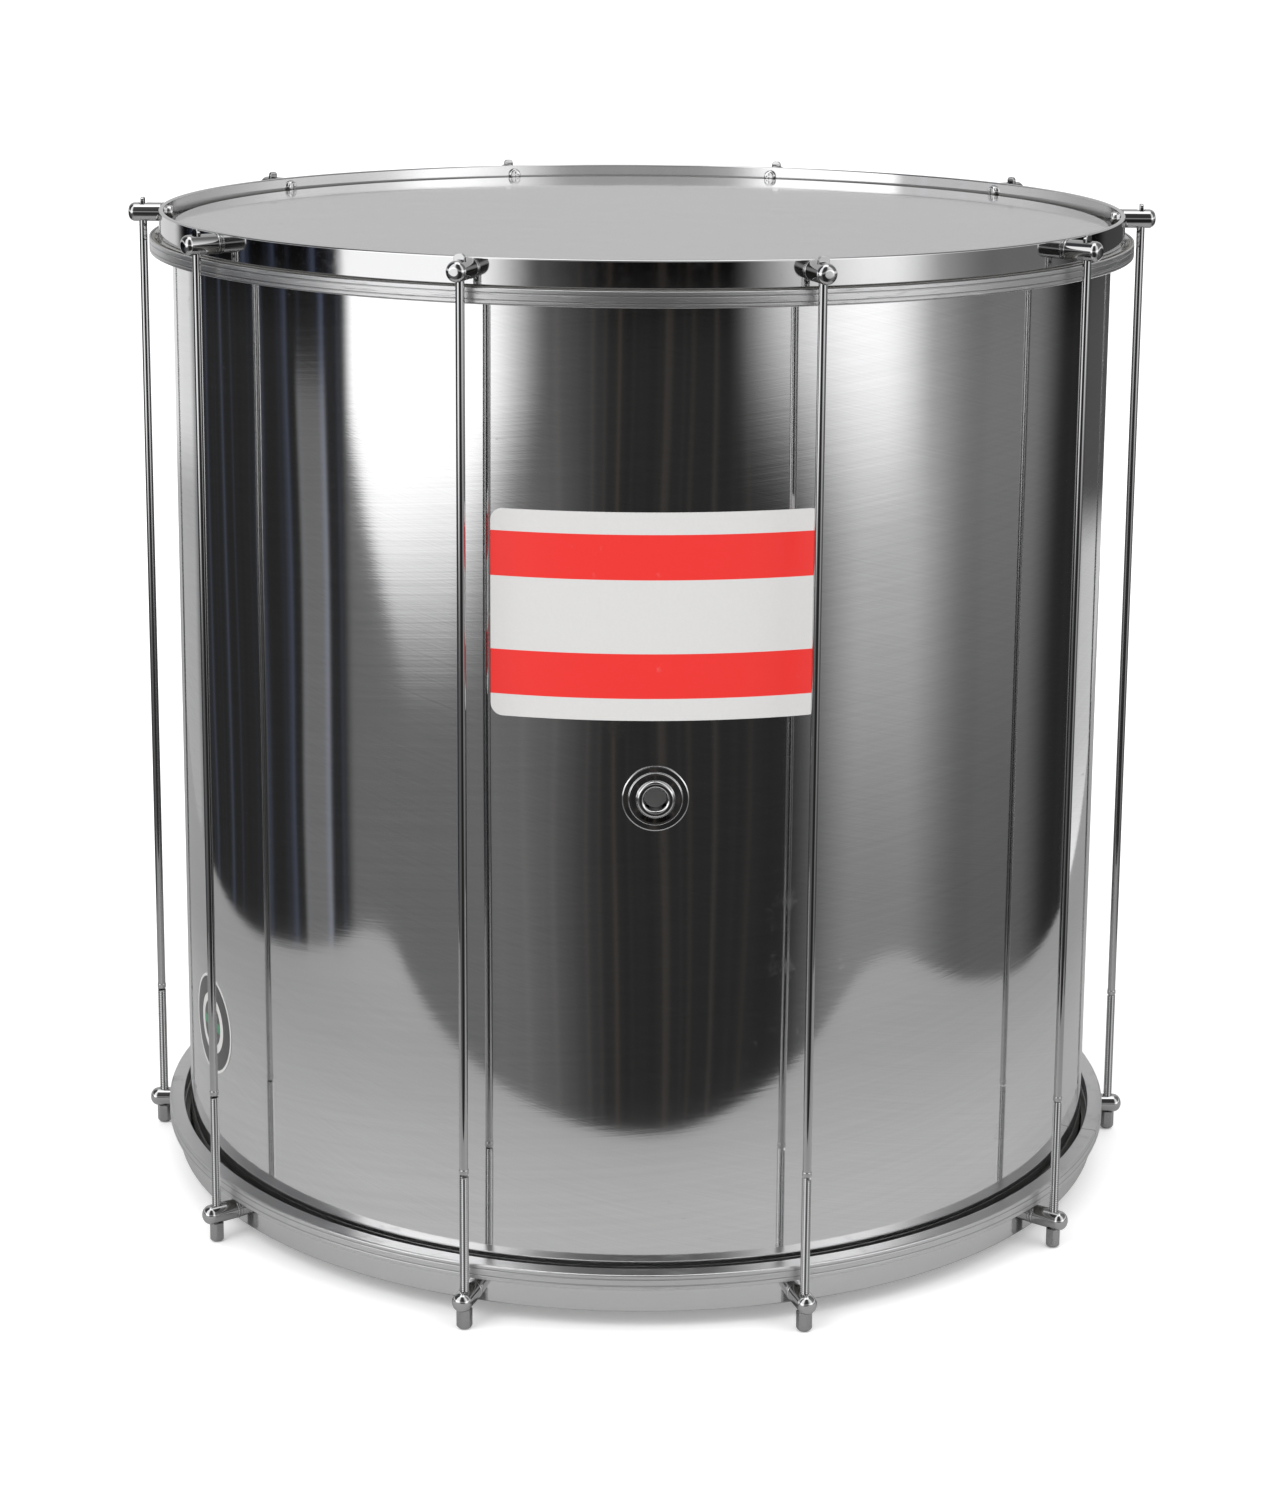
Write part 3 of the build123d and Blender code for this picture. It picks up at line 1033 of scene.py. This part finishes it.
def bentSheet(outline, angle, height, name, material, node):
    # A flat outline in (along, up), cut into narrow strips and wrapped on the shell
    bm = bmesh.new()
    face = bm.faces.new([bm.verts.new((x, 0, z)) for x, z in outline])
    reach = max(x for x, z in outline)
    steps = int(reach * 2 / stripWidth)
    for k in range(1, steps):
        cut = -reach + 2 * reach * k / steps
        bmesh.ops.bisect_plane(
            bm,
            geom=bm.verts[:] + bm.edges[:] + bm.faces[:],
            plane_co=(cut, 0, 0),
            plane_no=(1, 0, 0),
        )
    made = bmesh.ops.extrude_face_region(bm, geom=bm.faces[:])
    lifted = [item for item in made["geom"] if isinstance(item, bmesh.types.BMVert)]
    bmesh.ops.translate(bm, verts=lifted, vec=(0, sheetThickness, 0))
    for vert in bm.verts:
        turn = angle + vert.co.x / shellRadius
        radius = shellRadius + adhesive + vert.co.y
        vert.co = (radius * sin(turn), -radius * cos(turn), height + vert.co.z)
    bmesh.ops.recalc_face_normals(bm, faces=bm.faces)
    return addPiece(name, bm, material, "drum_body", [node], 40)


def makeLabels():
    s = frontLabel
    half = s["width"] / 2
    tall = s["height"] / 2
    corners = [(-half, -tall), (half, -tall), (half, tall), (-half, tall)]
    outline = arcCorners([(x, z, s["corner"]) for x, z in corners], 8)
    height = middle + s["rise"]
    material = labelSheet("frontLabelPrint", height, s["bars"])
    bentSheet(outline, s["angle"], height, "frontLabel", material, "front_label")
    s = sideLabel
    turns = [2 * pi * k / s["steps"] for k in range(s["steps"])]
    outline = [(s["radius"] * cos(turn), s["radius"] * sin(turn)) for turn in turns]
    height = middle + s["rise"]
    centre = (shellRadius * sin(s["angle"]), -shellRadius * cos(s["angle"]), height)
    ring = (centre, s["radius"] - s["ringInset"], s["ringWidth"], s["disc"])
    material = labelSheet("sideLabelPrint", height, (), ring)
    bentSheet(outline, s["angle"], height, "sideLabel", material, "side_label")


makeLabels()
print("labels made")

# Floor, the pale sheet that the metal shows under the drum, and the room that it reflects
floorShape = {"size": 30, "drop": 0.6 * mm, "level": 0.90, "glow": 0.2}
sheetShape = {
    "sides": (-0.65, 0.60, -0.497, 1.6),
    "corner": 0.12,
    "drop": 0.2 * mm,
    "level": 0.41,
    "farLevel": 0.26,
    "fade": (0.27, 0.62),
}
room = {"radius": 6.0, "low": -5.0, "high": 6.0, "dark": 0.018}

# Each panel fades in and out over azimuths in degrees from the front, and rises over slopes,
# which are heights on the wall over the room's radius
panels = {
    "left": {
        "from": (-73, -69),
        "to": (-22, -38),
        "slope": (-0.205, -0.085),
        "level": 1.25,
        "taper": (150, 100),
    },
    "leftGlow": {"from": (-74, -70), "to": (-6, -32), "base": 0.13},
    "leftPost": {
        "from": (-89, -87.5),
        "to": (-77.5, -79),
        "slope": (-0.06, -0.075),
        "level": 0.15,
    },
    "right": {"from": (19, 37), "to": (72, 56), "slope": (-0.14, -0.02), "level": 0.75},
    "rightGlow": {
        "from": (32, 54),
        "to": (88, 64),
        "slope": (-0.30, -0.10),
        "level": 0.28,
        "base": 0.22,
    },
    "rightWall": {
        "from": (70, 90),
        "to": (122, 104),
        "slope": (-0.30, -0.05),
        "level": 0.08,
        "base": 0.10,
    },
}


def stagePiece(name, bm, material):
    mesh = bpy.data.meshes.new(name)
    bm.to_mesh(mesh)
    bm.free()
    mesh.materials.append(material)
    piece = bpy.data.objects.new(name, mesh)
    bpy.context.scene.collection.objects.link(piece)
    return piece


def paleMaterial(name, level, farLevel=None, glow=0.0):
    material, maker, shader, place = newMaterial(name)
    grain = maker.noise(place, (4, 4, 4), 3, 0.5)
    colour = maker.mix(grain, grey(level), grey(level + 0.02))
    if farLevel is not None:
        x, y, z = split(maker, place)
        reach = maker.maths("SQRT", x * x + y * y)
        colour = maker.mix(reach.ramp(*sheetShape["fade"]), colour, grey(farLevel))
    finishShader(
        maker,
        shader,
        Base_Color=colour,
        Roughness=0.7,
        Emission_Color=(1, 1, 1, 1),
        Emission_Strength=glow,
    )
    return material


def panelLight(panel, azimuth, slope, below):
    start = end = azimuth
    if "taper" in panel:
        start = azimuth - below * panel["taper"][0]
        end = azimuth + below * panel["taper"][1]
    light = start.ramp(*panel["from"]) * end.ramp(*panel["to"])
    if "slope" not in panel:
        return light * panel["base"]
    rise = slope.ramp(*panel["slope"]) * panel["level"]
    return light * (rise + panel["base"]) if "base" in panel else light * rise


def roomMaterial():
    # Emission by direction: azimuth from the front, and height on the wall
    material = bpy.data.materials.new("roomLight")
    material.use_nodes = True
    tree = material.node_tree
    tree.nodes.clear()
    maker = Shade(tree)
    place = maker.make("ShaderNodeTexCoord", out="Object")
    x, y, z = split(maker, place)
    azimuth = maker.maths("ARCTAN2", x, 0 - y) * (180 / pi)
    slope = z / room["radius"]
    below = maker.maths("MAXIMUM", -0.08 - slope, 0.0)
    level = 0.0
    for panel in panels.values():
        level = level + panelLight(panel, azimuth, slope, below)
    # Pale walls behind, up to where the ceiling starts
    leftBack = azimuth.ramp(-133, -140) * (slope.ramp(-0.13, -0.09) * 0.35 + 0.42)
    rightBack = slope.ramp(-0.12, -0.15) * 0.5 + slope.ramp(-0.22, -0.31) * 0.5 + 0.06
    rightBack = azimuth.ramp(130, 138) * rightBack
    # Narrow bluish streaks on the left and warm ones in front
    along = maker.make("ShaderNodeCombineXYZ", X=azimuth)
    stripes = maker.noise(along, (0.22, 1, 1), 3, 0.6)
    streaks = stripes.ramp(0.48, 0.72) * azimuth.ramp(-68, -78) * azimuth.ramp(-142, -128)
    streaks = streaks * 0.11
    warm = maker.noise(along, (0.35, 1, 1), 2, 0.5)
    warm = warm.ramp(0.45, 0.8) * azimuth.ramp(-40, -20) * azimuth.ramp(34, 14) * 0.05
    # Ceiling: bright behind and overhead, with a paler band low in front
    turn = maker.maths("ABSOLUTE", azimuth)
    behind = turn.ramp(105, 150)
    ceiling = slope.ramp(0.0, 0.14)
    leftBack = leftBack * (1 - ceiling)
    rightBack = rightBack * (1 - ceiling)
    band = slope.ramp(0.0, 0.06) * slope.ramp(0.34, 0.20)
    band = band * (turn.ramp(12, 45) * 0.5 + 0.35)
    overhead = maker.maths("SQRT", x * x + y * y).ramp(2.6, 1.9)
    overhead = overhead * slope.ramp(0.96, 0.99) * 1.3
    ceiling = ceiling * behind * 0.55 + (band + 0.05) * ceiling * (1 - behind) + overhead
    level = level + leftBack + rightBack
    dark = (stripes * 0.012 + room["dark"]) * (slope.ramp(-0.02, -0.06) * 0.85 + 0.15)
    level = level + ceiling + dark
    colour = maker.make(
        "ShaderNodeCombineXYZ",
        X=level + streaks * 0.7 + warm,
        Y=level + streaks * 0.85 + warm * 0.8,
        Z=level * 1.01 + streaks * 1.35 + warm * 0.65,
    )
    light = maker.make("ShaderNodeEmission", Color=colour, Strength=1.0)
    output = tree.nodes.new("ShaderNodeOutputMaterial")
    maker.plug(output.inputs[0], light)
    return material


def makeStage():
    bm = bmesh.new()
    s = floorShape
    bmesh.ops.create_grid(bm, x_segments=1, y_segments=1, size=s["size"])
    bmesh.ops.translate(bm, verts=bm.verts, vec=(0, 0, -s["drop"]))
    floor = stagePiece("floor", bm, paleMaterial("paleFloor", s["level"], glow=s["glow"]))
    floor.visible_glossy = False
    s = sheetShape
    left, right, front, back = s["sides"]
    outline = [(left, front), (right, front), (right, back), (left, back)]
    outline = arcCorners([(x, y, s["corner"]) for x, y in outline], 12)
    bm = bmesh.new()
    bm.faces.new([bm.verts.new((x, y, -s["drop"])) for x, y in outline])
    sheet = stagePiece("sheet", bm, paleMaterial("paleSheet", s["level"], s["farLevel"]))
    sheet.visible_camera = False
    sheet.visible_diffuse = False
    sheet.visible_shadow = False
    bm = bmesh.new()
    bmesh.ops.create_cone(
        bm,
        cap_ends=True,
        segments=96,
        radius1=room["radius"],
        radius2=room["radius"],
        depth=room["high"] - room["low"],
    )
    bmesh.ops.translate(bm, verts=bm.verts, vec=(0, 0, (room["high"] + room["low"]) / 2))
    wall = stagePiece("room", bm, roomMaterial())
    wall.visible_camera = False
    wall.visible_diffuse = False
    wall.visible_shadow = False
    wall.visible_transmission = False


lights = {
    "world": 1.2,
    "key": {"place": (-2.2, -2.4, 3.2), "size": 2.2, "power": 60},
    "fill": {"place": (2.6, -1.4, 2.8), "size": 2.4, "power": 30},
    "inner": {"place": (0, 0, middle), "size": 0.1, "power": 1.4},
}


def addLamp(name, kind):
    s = lights[name]
    data = bpy.data.lights.new(name + "Light", kind)
    data.energy = s["power"]
    lamp = bpy.data.objects.new(name + "Light", data)
    bpy.context.scene.collection.objects.link(lamp)
    lamp.location = s["place"]
    lamp.visible_glossy = False
    if kind == "POINT":
        data.shadow_soft_size = s["size"]
        return
    data.shape = "SQUARE"
    data.size = s["size"]
    aim = Vector((0, 0, middle)) - Vector(s["place"])
    lamp.rotation_euler = aim.to_track_quat("-Z", "Y").to_euler()


def makeLights():
    world = bpy.data.worlds.new("paleRoom")
    bpy.context.scene.world = world
    world.use_nodes = True
    background = world.node_tree.nodes["Background"]
    background.inputs["Color"].default_value = (1, 1, 1, 1)
    background.inputs["Strength"].default_value = lights["world"]
    addLamp("key", "AREA")
    addLamp("fill", "AREA")
    addLamp("inner", "POINT")  # what the translucent heads let into the drum


makeStage()
makeLights()
bpy.context.scene.view_settings.view_transform = "Standard"
print("stage made")
